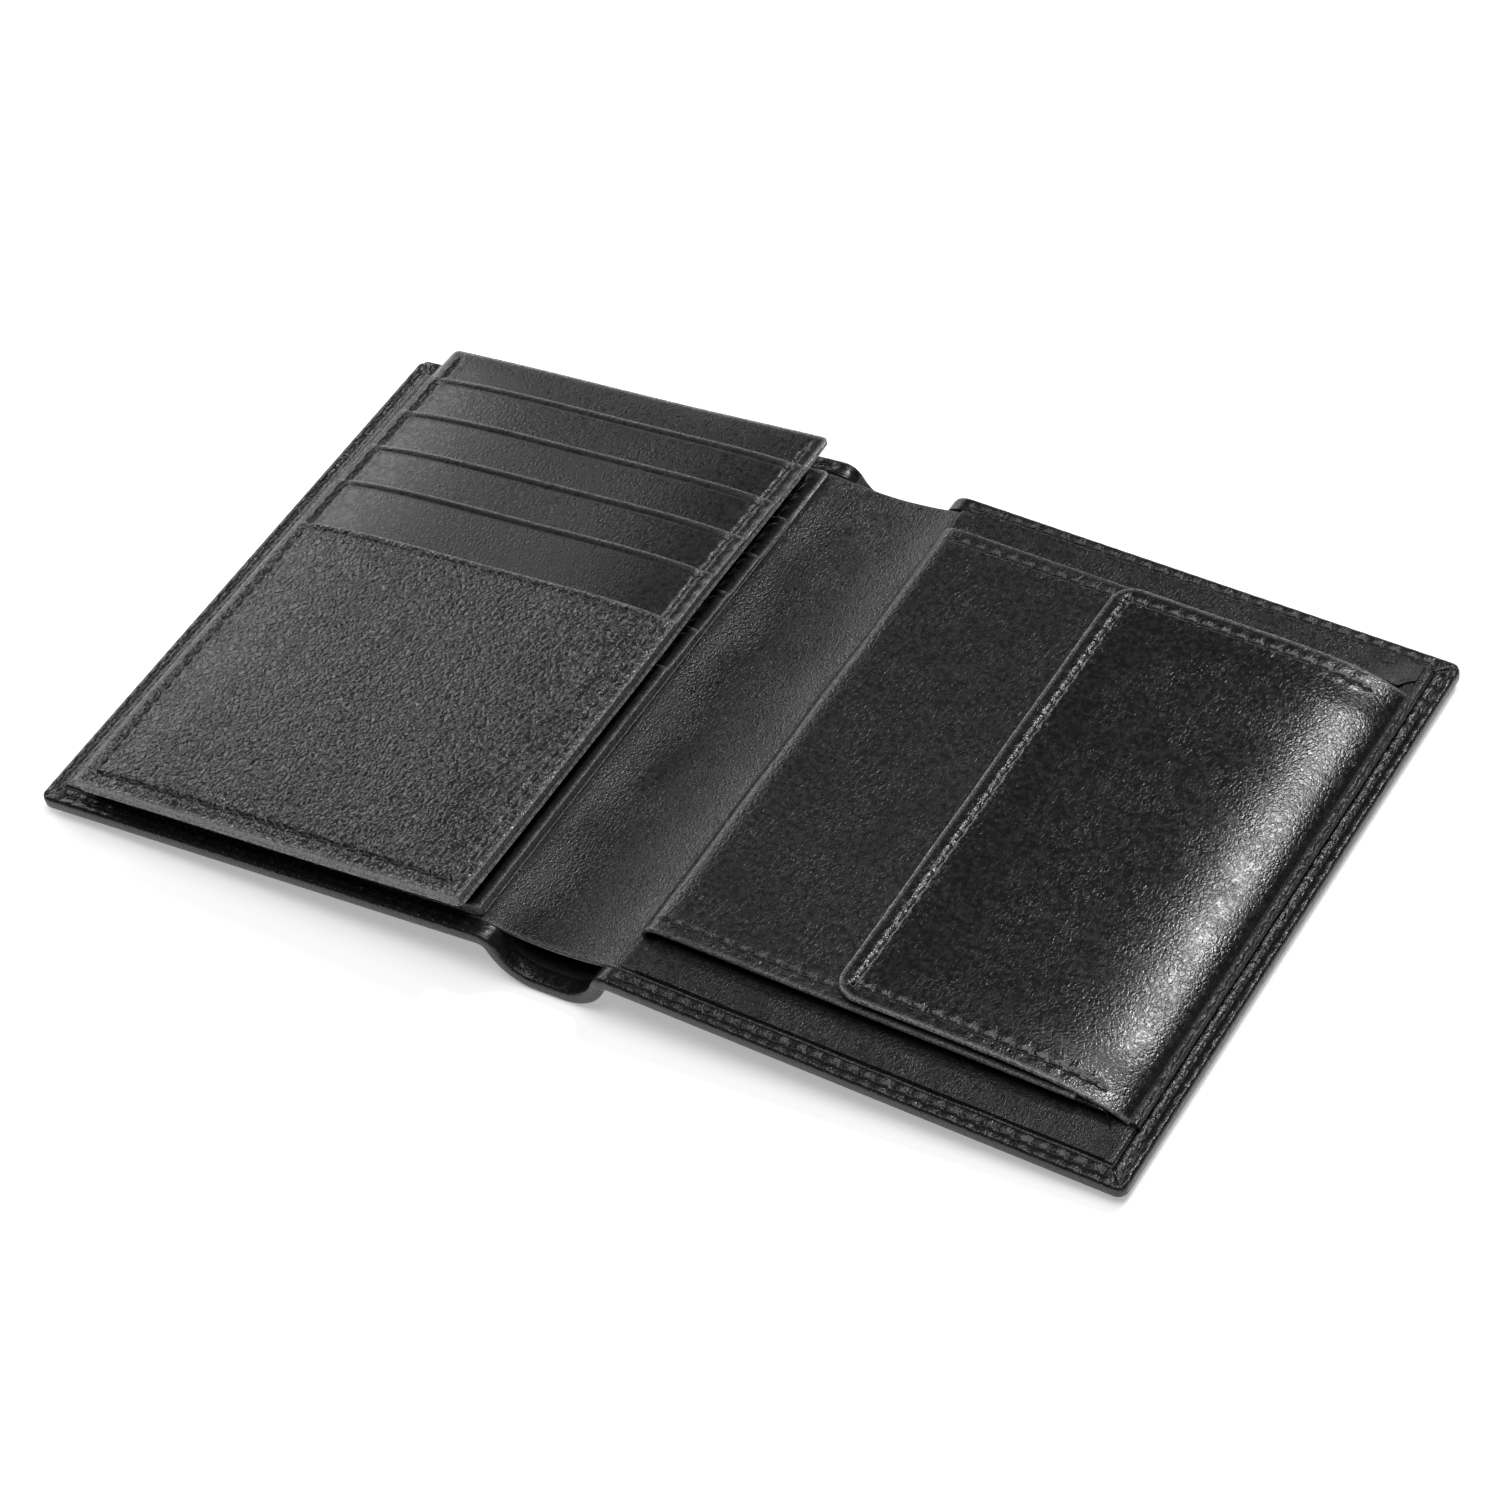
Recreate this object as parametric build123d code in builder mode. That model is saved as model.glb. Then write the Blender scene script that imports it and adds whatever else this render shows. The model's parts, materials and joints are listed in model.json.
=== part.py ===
"""Upright leather wallet, lying open: two covers joined by a soft spine, a card leaf
that turns like a page on the left cover, and a gusseted coin pocket with a flap on
the right cover.

Frame: +X to the right across the open wallet, +Y towards its far edge, +Z up.
The origin is below the middle of the spine, on the table. Sizes are millimetres.
"""
from build123d import *
from math import atan2, cos, degrees, radians, sin
import os

# ---------------------------------------------------------------- driving sizes
card_width = 85.6               # a bank card lies across each card slot
seam_inset = 3.2                # stitch line to the edge of a panel
card_play = 1.5                 # room beside a card, each side
leaf_width = card_width + 2 * (seam_inset + card_play)
leaf_height = 138.0
wallet_height = 140.0
cover_width = 109.0             # hinge line to outer edge, along the cover
spine_chord = 28.0              # hinge line to hinge line
cover_tilt = 3.5                # degrees that each cover slopes down outwards
edge_lift = 1.5                 # outer edges above the table

# ------------------------------------------------------- layers, up from outside
leather = 1.2                   # outer shell
hem_top = 2.9                   # height of the turned hem
hem_width = 4.2
lining = 0.3                    # cloth
divider = 0.8                   # leather between the note space and the inside
panel = 0.6                     # card and coin panels
slot_leather = 0.4              # one card slot on the cover
leaf_panel = 0.55
leaf_slot_leather = 0.36
corner_radius = 2.0
hem_roll = 0.45                 # rounding of the turned hem

hinge_gap = 0.8                 # hinge line to the nearest edge of a panel
free_edge = 0.2                 # a panel edge beside a hem that it isn't sewn to

# ------------------------------------------------------------------- card slots
slot_count = 5
slot_pitch = 11.7
left_first_slot = 49.8          # edge of the farthest slot, from mid height
leaf_first_slot = 59.5
leaf_last_slot = 10.0           # the front panel starts a little lower
left_stack_inner = 1.5          # hinge line to the card stack
left_stack_width = 97.0
stack_half_height = 65.6

# ------------------------------------------------------------------ turning leaf
leaf_inner = 2.3                # hinge line to the leaf's free edge
leaf_rise = 8.2                 # underside above the cover's outside, at its fold
leaf_tilt = 3.6                 # degrees, upwards from the fold to the free edge
hinge_strip = 0.6               # thickness of the strip that carries the leaf
strip_foot_length = 4.0         # how much of the strip lies on the cover
strip_run = 1.0                 # how far it moves inwards as it rises
strip_overlap = 1.2             # how far it reaches under the leaf
strip_gap = 0.5                 # between the strip and the leaf
strip_bend = 0.9                # radius of its two bends

# -------------------------------------------------------------------- coin pocket
coin_left = 1.2                 # hinge line to the pocket's folded edge
coin_right = 104.6
coin_half_height = 58.0
coin_fold_width = 1.2
coin_fold_round = 0.96          # radius of the folded edge
coin_front_low = 5.9
coin_front_high = 7.0
coin_front_right = 98.0
coin_gap = 0.3
gusset_leather = 0.5
gusset_fold = 50.0              # half distance between the two inward folds
gusset_bend = 0.5               # radius of a gusset's folds
gusset_inset = 1.0              # pocket front's edge to the gusset's edge
flap_low = 7.3
flap_lining = 0.5
flap_high = 8.8
flap_left = 42.0
flap_right = 101.8
flap_half_height = 57.0
flap_corner = 5.0
flap_hinge_left = 102.4
flap_hinge_top = 6.2
flap_hinge_round = 0.9
seam_end_gap = 1.0              # end of a seam to the next edge

# ------------------------------------------------------------- hidden press stud
snap_across = 54.0              # hinge line to the stud
snap_radius = 5.5
snap_hole = 2.5
stud_radius = 2.2
stud_shank = 1.0
stud_height = 0.5

# ------------------------------------------------------------------------ thread
stitch_pitch = 3.6
stitch_length = 2.6
thread = 0.5                    # thread width
thread_rise = 0.25              # how far a stitch stands above the leather

# --------------------------------------------------------------- derived places
half_chord = spine_chord / 2
half_height = wallet_height / 2
hinge_height = edge_lift + cover_width * sin(radians(cover_tilt))
tilt_cos = cos(radians(cover_tilt))
tilt_sin = sin(radians(cover_tilt))
divider_low = hem_top - divider
stack_low = hem_top + panel

# Each cover has its own plane through its hinge line: local x runs to the right
# along the cover, local y towards the far edge, and local z up from its outside.
LEFT = Plane(origin=(-half_chord, 0, hinge_height), x_dir=(tilt_cos, 0, tilt_sin),
             z_dir=(-tilt_sin, 0, tilt_cos))
RIGHT = Plane(origin=(half_chord, 0, hinge_height), x_dir=(tilt_cos, 0, -tilt_sin),
              z_dir=(tilt_sin, 0, tilt_cos))
leaf_origin = LEFT.from_local_coords((-leaf_inner - leaf_width, 0, leaf_rise))
LEAF = Plane(origin=leaf_origin, x_dir=(cos(radians(leaf_tilt)), 0, sin(radians(leaf_tilt))),
             z_dir=(-sin(radians(leaf_tilt)), 0, cos(radians(leaf_tilt))))


def slab(plane, x_from, x_to, y_from, y_to, low, high, corner=0.0, corner_side=None):
    """Flat sheet on a panel's plane, between two heights, for the open BuildPart."""
    with BuildSketch(plane.offset(low)) as outline:
        with Locations(((x_from + x_to) / 2, (y_from + y_to) / 2)):
            Rectangle(x_to - x_from, y_to - y_from)
        if corner_side is not None:
            fillet(outline.vertices().group_by(Axis.X)[corner_side], radius=corner)
    extrude(outline.sketch, amount=high - low)


def save(name, part):
    """Label a finished piece and write its STEP file."""
    part.label = name
    export_step(part, f"parts/{name}.step")


os.makedirs("parts", exist_ok=True)


# ------------------------------------------------------------------------ covers
def cover_shell(plane, outward):
    """Outer leather of one cover with its hem turned in on three sides.

    outward is -1 for the left cover and +1 for the right one.
    """
    outer_x = outward * cover_width
    hinge_x = outward * hinge_gap
    low_x, high_x = sorted((outer_x, hinge_x))
    hem_inner_x = outward * (cover_width - hem_width)
    pocket_low, pocket_high = sorted((hem_inner_x, 0))
    corner_side = 0 if outward < 0 else -1
    pocket_half = half_height - hem_width
    with BuildPart() as shell:
        slab(plane, low_x, high_x, -half_height, half_height, 0, hem_top,
             corner_radius, corner_side)
        with BuildSketch(plane.offset(leather)):
            with Locations(((pocket_low + pocket_high) / 2, 0)):
                Rectangle(pocket_high - pocket_low, 2 * pocket_half)
        extrude(amount=hem_top - leather, mode=Mode.SUBTRACT)
        up = Axis(plane.origin, plane.z_dir)
        rolled = shell.faces().sort_by(up)[-1].edges() + shell.faces().sort_by(up)[0].edges()
        rolled = [edge for edge in rolled if edge.length > hem_width + hem_roll]
        fillet(rolled, radius=hem_roll)
    return shell.part


save("shell_left", cover_shell(LEFT, -1))
save("shell_right", cover_shell(RIGHT, 1))

for side, plane, outward in (("left", LEFT, -1), ("right", RIGHT, 1)):
    sheet_low, sheet_high = sorted((outward * (cover_width - hem_width), outward * hinge_gap))
    sheet_half = half_height - hem_width
    with BuildPart() as cover_lining:
        slab(plane, sheet_low, sheet_high, -sheet_half, sheet_half, leather, leather + lining)
    save(f"shell_lining_{side}", cover_lining.part)

    # The divider is sewn in at the near edge and is free at the far edge,
    # where notes slide in behind it.
    with BuildPart() as cover_divider:
        slab(plane, sheet_low, sheet_high, -sheet_half, sheet_half - free_edge,
             divider_low, hem_top)
    save(f"divider_{side}", cover_divider.part)


# ------------------------------------------------------------------------- spine
spine_half = half_chord - hinge_gap
spine_flat = 3.0                # half width of the strip that rests on the table
bulge_radius = ((spine_half - spine_flat) ** 2 + hinge_height ** 2) / (2 * hinge_height)
bulge_end = degrees(atan2(hinge_height - bulge_radius, spine_half - spine_flat))
divider_sag = 1.6


def spine_section(plane, depth, thickness):
    """Face of a bulged strip across the spine, centred at a depth inside its outer face."""
    radius = bulge_radius - depth
    with BuildSketch(plane) as section:
        with BuildLine():
            CenterArc((-spine_flat, bulge_radius), radius, -90, -(90 + bulge_end))
            Line((-spine_flat, depth), (spine_flat, depth))
            CenterArc((spine_flat, bulge_radius), radius, -90, 90 + bulge_end)
        trace(line_width=thickness)
    return section.sketch


def across(y):
    """Plane across the wallet at one y, with local y up; it extrudes towards -Y."""
    return Plane(origin=(0, y, 0), x_dir=(1, 0, 0), z_dir=(0, -1, 0))


with BuildPart() as shell_spine:
    extrude(spine_section(across(half_height), leather / 2, leather), amount=wallet_height)
    for hem_start in (half_height, -half_height + hem_width):
        hem = spine_section(across(hem_start), (leather + hem_top) / 2, hem_top - leather)
        extrude(hem, amount=hem_width)
save("shell_spine", shell_spine.part)

with BuildPart() as shell_lining_spine:
    cloth = spine_section(across(half_height - hem_width), leather + lining / 2, lining)
    extrude(cloth, amount=wallet_height - 2 * hem_width)
save("shell_lining_spine", shell_lining_spine.part)

with BuildPart() as divider_spine:
    with BuildSketch(across(half_height - hem_width)):
        with BuildLine():
            edge_height = hinge_height + hem_top - divider / 2
            ThreePointArc((-spine_half, edge_height), (0, edge_height - divider_sag),
                          (spine_half, edge_height))
        trace(line_width=divider)
    extrude(amount=wallet_height - 2 * hem_width)
save("divider_spine", divider_spine.part)


# ------------------------------------------------------- card stack on left cover
left_slot_edges = [left_first_slot - slot_pitch * index for index in range(slot_count)]
stack_left = -left_stack_inner - left_stack_width

with BuildPart() as left_card_base:
    slab(LEFT, stack_left, -left_stack_inner, -stack_half_height, stack_half_height,
         hem_top, stack_low)
save("left_card_base", left_card_base.part)

for index, edge in enumerate(left_slot_edges):
    layer_low = stack_low + slot_leather * index
    with BuildPart() as left_slot:
        slab(LEFT, stack_left, -left_stack_inner, -stack_half_height, edge,
             layer_low, layer_low + slot_leather)
    save(f"left_card_slot_{index + 1}", left_slot.part)


# ------------------------------------------------------------------ turning leaf
leaf_slot_edges = [leaf_first_slot - slot_pitch * index for index in range(slot_count - 1)]
leaf_slot_edges.append(leaf_last_slot)
leaf_half = leaf_height / 2
leaf_card_low = 2 * leaf_panel

with BuildPart() as leaf_back:
    slab(LEAF, 0, leaf_width, -leaf_half, leaf_half, 0, leaf_panel)
save("leaf_back", leaf_back.part)

with BuildPart() as leaf_card_base:
    slab(LEAF, 0, leaf_width, -leaf_half, leaf_half, leaf_panel, leaf_card_low)
save("leaf_card_base", leaf_card_base.part)

for index, edge in enumerate(leaf_slot_edges):
    layer_low = leaf_card_low + leaf_slot_leather * index
    with BuildPart() as leaf_slot:
        slab(LEAF, 0, leaf_width, -leaf_half, edge, layer_low, layer_low + leaf_slot_leather)
    save(f"leaf_card_slot_{index + 1}", leaf_slot.part)

# A soft strip carries the leaf: flat on the cover, then up to the leaf's underside.
strip_foot = -(cover_width - hem_width)
strip_bend_x = strip_foot + strip_foot_length
strip_end_x = -leaf_inner - leaf_width + strip_overlap
strip_middle = hem_top + hinge_strip / 2
strip_top = leaf_rise - strip_gap - hinge_strip
with BuildPart() as leaf_hinge:
    with BuildSketch(Plane(origin=LEFT.from_local_coords((0, stack_half_height, 0)),
                           x_dir=LEFT.x_dir, z_dir=(0, -1, 0))):
        with BuildLine():
            FilletPolyline((strip_foot, strip_middle), (strip_bend_x, strip_middle),
                           (strip_bend_x + strip_run, strip_top),
                           (strip_end_x, strip_top), radius=strip_bend)
        trace(line_width=hinge_strip)
    extrude(amount=2 * stack_half_height)
save("leaf_hinge", leaf_hinge.part)


# --------------------------------------------------------------------- coin pocket
with BuildPart() as coin_back:
    slab(RIGHT, coin_left, coin_right, -stack_half_height, stack_half_height,
         hem_top, stack_low)
save("coin_back", coin_back.part)

coin_inside = coin_left + coin_fold_width + coin_gap
lining_top = stack_low + free_edge
with BuildPart() as coin_lining:
    slab(RIGHT, coin_inside, flap_hinge_left, -gusset_fold + gusset_leather,
         gusset_fold - gusset_leather, stack_low, lining_top)
save("coin_lining", coin_lining.part)

with BuildPart() as coin_fold:
    slab(RIGHT, coin_left, coin_left + coin_fold_width, -coin_half_height, coin_half_height,
         stack_low, coin_front_high)
    outer_edge = coin_fold.edges().filter_by(Axis.Y).sort_by(Axis.Z)[-2:].sort_by(Axis.X)[0]
    fillet(outer_edge, radius=coin_fold_round)
save("coin_fold", coin_fold.part)

with BuildPart() as coin_front:
    slab(RIGHT, coin_inside, coin_front_right, -coin_half_height, coin_half_height,
         coin_front_low + free_edge, coin_front_high)
    with BuildSketch(RIGHT.offset(coin_front_low)):
        with Locations((snap_across, 0)):
            Circle(stud_shank)
    extrude(amount=coin_front_high - coin_front_low, mode=Mode.SUBTRACT)
save("coin_front", coin_front.part)

with BuildPart() as coin_front_lining:
    slab(RIGHT, coin_inside, coin_front_right, -gusset_fold, gusset_fold,
         coin_front_low, coin_front_low + free_edge)
    with BuildSketch(RIGHT.offset(coin_front_low)):
        with Locations((snap_across, 0)):
            Circle(stud_shank)
    extrude(amount=free_edge, mode=Mode.SUBTRACT)
save("coin_front_lining", coin_front_lining.part)

# Each gusset lies on the back panel, folds inwards under the front and comes back.
gusset_low = stack_low + gusset_leather / 2
gusset_high = coin_front_low - coin_gap / 2 - gusset_leather / 2
for name, toward in (("coin_gusset_near", -1), ("coin_gusset_far", 1)):
    with BuildPart() as gusset:
        with BuildSketch(Plane(origin=RIGHT.from_local_coords((coin_inside, 0, 0)),
                               x_dir=(0, 1, 0), z_dir=RIGHT.x_dir)):
            with BuildLine():
                FilletPolyline((toward * stack_half_height, gusset_low),
                               (toward * gusset_fold, gusset_low),
                               (toward * gusset_fold, gusset_high),
                               (toward * (coin_half_height - gusset_inset), gusset_high),
                               radius=gusset_bend)
            trace(line_width=gusset_leather)
        extrude(amount=flap_hinge_left - coin_gap - coin_inside)
    save(name, gusset.part)


# ---------------------------------------------------------------------- coin flap
flap_hinge_right = coin_right
with BuildPart() as flap_hinge:
    slab(RIGHT, flap_hinge_left, flap_hinge_right, -flap_half_height, flap_half_height,
         stack_low, flap_hinge_top)
    ridge = flap_hinge.edges().filter_by(Axis.Y).sort_by(Axis.Z)[-2:]
    fillet(ridge, radius=flap_hinge_round)
save("flap_hinge", flap_hinge.part)

with BuildPart() as flap_outer:
    slab(RIGHT, flap_left, flap_right, -flap_half_height, flap_half_height,
         flap_low + flap_lining, flap_high, flap_corner, 0)
save("flap_outer", flap_outer.part)

with BuildPart() as flap_inner:
    slab(RIGHT, flap_left, flap_right, -flap_half_height, flap_half_height,
         flap_low, flap_low + flap_lining, flap_corner, 0)
    with BuildSketch(RIGHT.offset(flap_low)):
        with Locations((snap_across, 0)):
            Circle(snap_radius)
    extrude(amount=flap_lining, mode=Mode.SUBTRACT)
save("flap_lining", flap_inner.part)

with BuildPart() as snap_socket:
    with BuildSketch(RIGHT.offset(flap_low)):
        with Locations((snap_across, 0)):
            Circle(snap_radius)
            Circle(snap_hole, mode=Mode.SUBTRACT)
    extrude(amount=flap_lining)
save("snap_socket", snap_socket.part)

with BuildPart() as snap_stud:
    with BuildSketch(RIGHT.offset(coin_front_low)):
        with Locations((snap_across, 0)):
            Circle(stud_shank)
    extrude(amount=coin_front_high - coin_front_low)
    with BuildSketch(RIGHT.offset(coin_front_high)):
        with Locations((snap_across, 0)):
            Circle(stud_radius)
    extrude(amount=stud_height)
save("snap_stud", snap_stud.part)


# ------------------------------------------------------------------------ stitches
def seam_row(plane, height, x_from, x_to, y):
    """Stitches in a line along local x."""
    count = int((x_to - x_from) // stitch_pitch)
    with BuildSketch(plane.offset(height)) as stitches:
        with Locations(((x_from + x_to) / 2, y)):
            with GridLocations(stitch_pitch, 1, count, 1):
                Rectangle(stitch_length, thread)
    extrude(stitches.sketch, amount=thread_rise)


def seam_column(plane, height, x, y_from, y_to):
    """Stitches in a line along local y."""
    count = int((y_to - y_from) // stitch_pitch)
    with BuildSketch(plane.offset(height)) as stitches:
        with Locations((x, (y_from + y_to) / 2)):
            with GridLocations(1, stitch_pitch, 1, count):
                Rectangle(thread, stitch_length)
    extrude(stitches.sketch, amount=thread_rise)


hem_seam = 2.2                  # stitch line inside the wallet's edge
seam_y = half_height - hem_seam

for name, plane, outward in (("left_cover_thread", LEFT, -1), ("right_cover_thread", RIGHT, 1)):
    row_from, row_to = sorted((outward * (cover_width - hem_width), outward * hem_width))
    with BuildPart() as cover_thread:
        for y in (-seam_y, seam_y):
            seam_row(plane, hem_top, row_from, row_to, y)
        seam_column(plane, hem_top, outward * (cover_width - hem_seam), -seam_y, seam_y)
    save(name, cover_thread.part)


def stepped_seam(plane, x, edges, base_height, step, y_near, y_far):
    """Stitches along a stack of slots, climbing one layer at each slot edge."""
    limits = [y_far] + list(edges) + [y_near]
    for layer in range(len(limits) - 1):
        seam_column(plane, base_height + step * layer, x, limits[layer + 1], limits[layer])


with BuildPart() as left_card_thread:
    stepped_seam(LEFT, -left_stack_inner - seam_inset, left_slot_edges, stack_low,
                 slot_leather, -stack_half_height, stack_half_height)
save("left_card_thread", left_card_thread.part)

with BuildPart() as leaf_thread:
    for x in (seam_inset, leaf_width - seam_inset):
        stepped_seam(LEAF, x, leaf_slot_edges, leaf_card_low, leaf_slot_leather,
                     -leaf_half + seam_inset, leaf_half - seam_inset)
    leaf_top = leaf_card_low + slot_count * leaf_slot_leather
    row_ends = (2 * seam_inset, leaf_width - 2 * seam_inset)
    seam_row(LEAF, leaf_card_low, *row_ends, leaf_half - seam_inset)
    seam_row(LEAF, leaf_top, *row_ends, -leaf_half + seam_inset)
save("leaf_thread", leaf_thread.part)

with BuildPart() as coin_front_thread:
    for y in (-coin_half_height + seam_inset, coin_half_height - seam_inset):
        seam_row(RIGHT, coin_front_high, coin_inside + seam_end_gap,
                 flap_left - seam_end_gap, y)
save("coin_front_thread", coin_front_thread.part)

with BuildPart() as flap_thread:
    for y in (-flap_half_height + seam_inset, flap_half_height - seam_inset):
        seam_row(RIGHT, flap_high, flap_left + flap_corner,
                 flap_right - seam_end_gap, y)
    seam_column(RIGHT, flap_high, flap_left + seam_inset, -flap_half_height + flap_corner,
                flap_half_height - flap_corner)
save("flap_thread", flap_thread.part)
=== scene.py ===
"""Visual model of an upright leather wallet lying open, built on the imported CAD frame.

Sizes in this script are millimetres and become metres where a mesh is made. Each panel
has its own plane: x to the right along it, y towards the wallet's far edge, h above it.
"""
import bpy
import json
import numpy as np
from collections import namedtuple
from math import asin, cos, pi, radians, sin
from mathutils import Matrix, Vector


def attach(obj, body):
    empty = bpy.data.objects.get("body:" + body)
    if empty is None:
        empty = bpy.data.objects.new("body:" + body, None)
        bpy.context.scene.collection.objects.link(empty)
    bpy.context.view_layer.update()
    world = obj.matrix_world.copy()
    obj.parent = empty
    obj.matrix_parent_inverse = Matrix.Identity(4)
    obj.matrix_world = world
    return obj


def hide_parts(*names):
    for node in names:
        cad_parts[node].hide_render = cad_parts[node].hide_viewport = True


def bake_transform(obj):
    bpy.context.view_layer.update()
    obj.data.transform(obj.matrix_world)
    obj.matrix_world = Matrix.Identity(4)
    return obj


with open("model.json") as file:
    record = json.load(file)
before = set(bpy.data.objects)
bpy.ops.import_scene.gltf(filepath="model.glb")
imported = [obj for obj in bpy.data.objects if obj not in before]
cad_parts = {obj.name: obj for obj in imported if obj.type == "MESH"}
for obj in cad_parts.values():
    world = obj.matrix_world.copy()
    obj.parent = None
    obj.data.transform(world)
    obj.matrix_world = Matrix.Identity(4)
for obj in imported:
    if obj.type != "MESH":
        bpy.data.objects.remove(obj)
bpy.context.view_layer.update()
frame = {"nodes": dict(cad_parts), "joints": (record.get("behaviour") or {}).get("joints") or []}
random = np.random.default_rng(7)

METRES = 0.001
cell = 0.75                    # grid of the visible leather
coarse_cell = 1.6              # grid of cloth and of leather that is mostly covered

# ------------------------------------------------------------------- seams and thread
stitch_pitch = 3.6
stitch_length = 2.75
thread_radius = 0.27
thread_top = 0.02              # highest point of a stitch above the leather beside it
seam_depth = 0.32              # how far a seam draws the leather in
scallop = 0.16                 # how far a seam's groove swings to each side
groove_width = 0.42
hole_width = 1.0               # dent round each needle hole
puff = 0.4                     # leather that rises beside a seam, as a share of its depth
puff_off = 1.3                 # middle of that rise, from the seam
puff_width = 0.6
crumple_reach = 1.6            # how far from a seam the sewing crumples the leather
hem_seam = 2.2                 # seam to the wallet's edge
panel_seam = 3.2               # seam to a panel's edge
edge_share = 0.46              # rounding of a sheet's edge, as a share of its thickness
panel_corner = 1.5             # corner radius of the leaf and of a stack's base
fine_cell = 0.3                # grid beside seams and lips

# runs is "x" or "y", at is the seam's place across that, start and stop are along it
Seam = namedtuple("Seam", "runs at start stop")


def flat(x, y):
    """The relief of a level sheet."""
    return 0 * x


# ---------------------------------------------------------------------------- planes
class Panel:
    """A panel's own plane, found from a flat CAD node that lies on it."""

    def __init__(self, node, corner=None):
        """corner is the world point of x = 0 and h = 0, or None for the node's own corner."""
        points = node_points(node)
        centred = points - points.mean(axis=0)
        up = np.linalg.svd(centred, full_matrices=False)[2][-1]
        self.up = up * np.sign(up[2])
        self.right = np.array([self.up[2], 0, -self.up[0]])
        self.origin = np.zeros(3)
        if corner is None:
            local = self.local(points)
            corner = local[:, 0].min() * self.right + local[:, 2].min() * self.up
        self.origin = np.array(corner)

    def local(self, points):
        """x, y and h of world points in millimetres."""
        shifted = points - self.origin
        return np.stack([shifted @ self.right, shifted[:, 1], shifted @ self.up], axis=1)

    def place(self, x, y, h):
        x, y, h = np.broadcast_arrays(x, y, h)
        return (self.origin + x[..., None] * self.right + h[..., None] * self.up
                + y[..., None] * np.array([0, 1.0, 0]))

    def box(self, node):
        """Lowest and highest x, y and h of a CAD node on this plane."""
        local = self.local(node_points(node))
        return np.stack([local.min(axis=0), local.max(axis=0)], axis=1).ravel()

    def point(self, x, h):
        """World point, in metres, of a place on the panel's middle line, where y is 0."""
        return tuple(self.place(np.array(x), np.array(0.0), np.array(h)) * METRES)


class Fold:
    """A line across the wallet that a sheet follows: s along it, y across it, h to its left."""

    def __init__(self, points, soften=0.8, step=0.1):
        points = np.array(points, float)
        run = np.concatenate([[0], np.cumsum(np.linalg.norm(np.diff(points, axis=0), axis=1))])
        even = np.linspace(0, run[-1], round(run[-1] / step) + 1)
        line = np.stack([np.interp(even, run, points[:, axis]) for axis in (0, 1)], axis=1)
        line = self.softened(line, soften / step)
        self.s = np.concatenate([[0], np.cumsum(np.linalg.norm(np.diff(line, axis=0), axis=1))])
        tangent = np.gradient(line, self.s, axis=0)
        tangent /= np.linalg.norm(tangent, axis=1)[:, None]
        self.line = line
        self.normal = np.stack([-tangent[:, 1], tangent[:, 0]], axis=1)
        self.length = self.s[-1]

    @staticmethod
    def softened(line, spread):
        """The line with its corners eased, its ends kept."""
        reach = int(4 * spread) + 1
        kernel = np.exp(-0.5 * (np.arange(-reach, reach + 1) / spread) ** 2)
        kernel /= kernel.sum()
        before = line[0] + (line[0] - line[1]) * np.arange(reach, 0, -1)[:, None]
        after = line[-1] + (line[-1] - line[-2]) * np.arange(1, reach + 1)[:, None]
        padded = np.concatenate([before, line, after])
        return np.stack([np.convolve(padded[:, axis], kernel, "valid") for axis in (0, 1)], axis=1)

    def across(self, s, h):
        """Coordinates in the fold's own plane."""
        spot = [np.interp(s, self.s, self.line[:, axis]) for axis in (0, 1)]
        lean = [np.interp(s, self.s, self.normal[:, axis]) for axis in (0, 1)]
        return spot[0] + h * lean[0], spot[1] + h * lean[1]

    def place(self, s, y, h):
        s, y, h = np.broadcast_arrays(s, y, h)
        x, z = self.across(s, h)
        return np.stack([x, y, z], axis=-1)


class PanelFold(Fold):
    """A fold drawn in a panel's own x and h."""

    def __init__(self, panel, points, **options):
        super().__init__(points, **options)
        self.panel = panel

    def place(self, s, y, h):
        s, y, h = np.broadcast_arrays(s, y, h)
        x, height = self.across(s, h)
        return self.panel.place(x, y, height)


def node_points(node):
    """Corner points of a CAD node's mesh, in millimetres."""
    mesh = frame["nodes"][node].data
    points = np.empty(len(mesh.vertices) * 3)
    mesh.vertices.foreach_get("co", points)
    return points.reshape(-1, 3) / METRES


def cover_panel(side, joint):
    """A cover's plane: x = 0 on its hinge line and h = 0 on its outer face."""
    pivot = next(np.array(j["pos_m"]) / METRES for j in frame["joints"] if j["name"] == joint)
    panel = Panel(f"divider_{side}", pivot)
    panel.origin = pivot + panel.box(f"shell_{side}")[4] * panel.up
    return panel


left = cover_panel("left", "left_cover_fold")
right = cover_panel("right", "right_cover_fold")
leaf = Panel("leaf_back")


# --------------------------------------------------------------------- shape helpers
def rolled(distance, radius):
    """How far a rounded edge has fallen, at a distance inside the sheet's outline."""
    inside = np.clip(radius - distance, 0, radius)
    return radius - np.sqrt(radius ** 2 - inside ** 2)


def smooth(value, start, stop):
    """0 before start, 1 after stop, and eased between them."""
    t = np.clip((value - start) / (stop - start), 0, 1)
    return t * t * (3 - 2 * t)


def bump(distance, width):
    """1 at no distance, falling off over about a width."""
    return np.exp(-(distance / width) ** 2)


def ripple(size, depth, seed):
    """A gentle unevenness, as a function of x and y: waves about size long."""
    draw = np.random.default_rng(seed)
    turns = draw.uniform(0, 2 * pi, 7)
    lengths = size * draw.uniform(0.6, 1.7, 7)
    shifts = draw.uniform(0, 2 * pi, 7)

    def height(x, y):
        total = 0 * x
        for turn, length, shift in zip(turns, lengths, shifts):
            along = x * cos(turn) + y * sin(turn)
            total = total + np.sin(2 * pi * along / length + shift)
        return depth * total / 3
    return height


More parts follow.
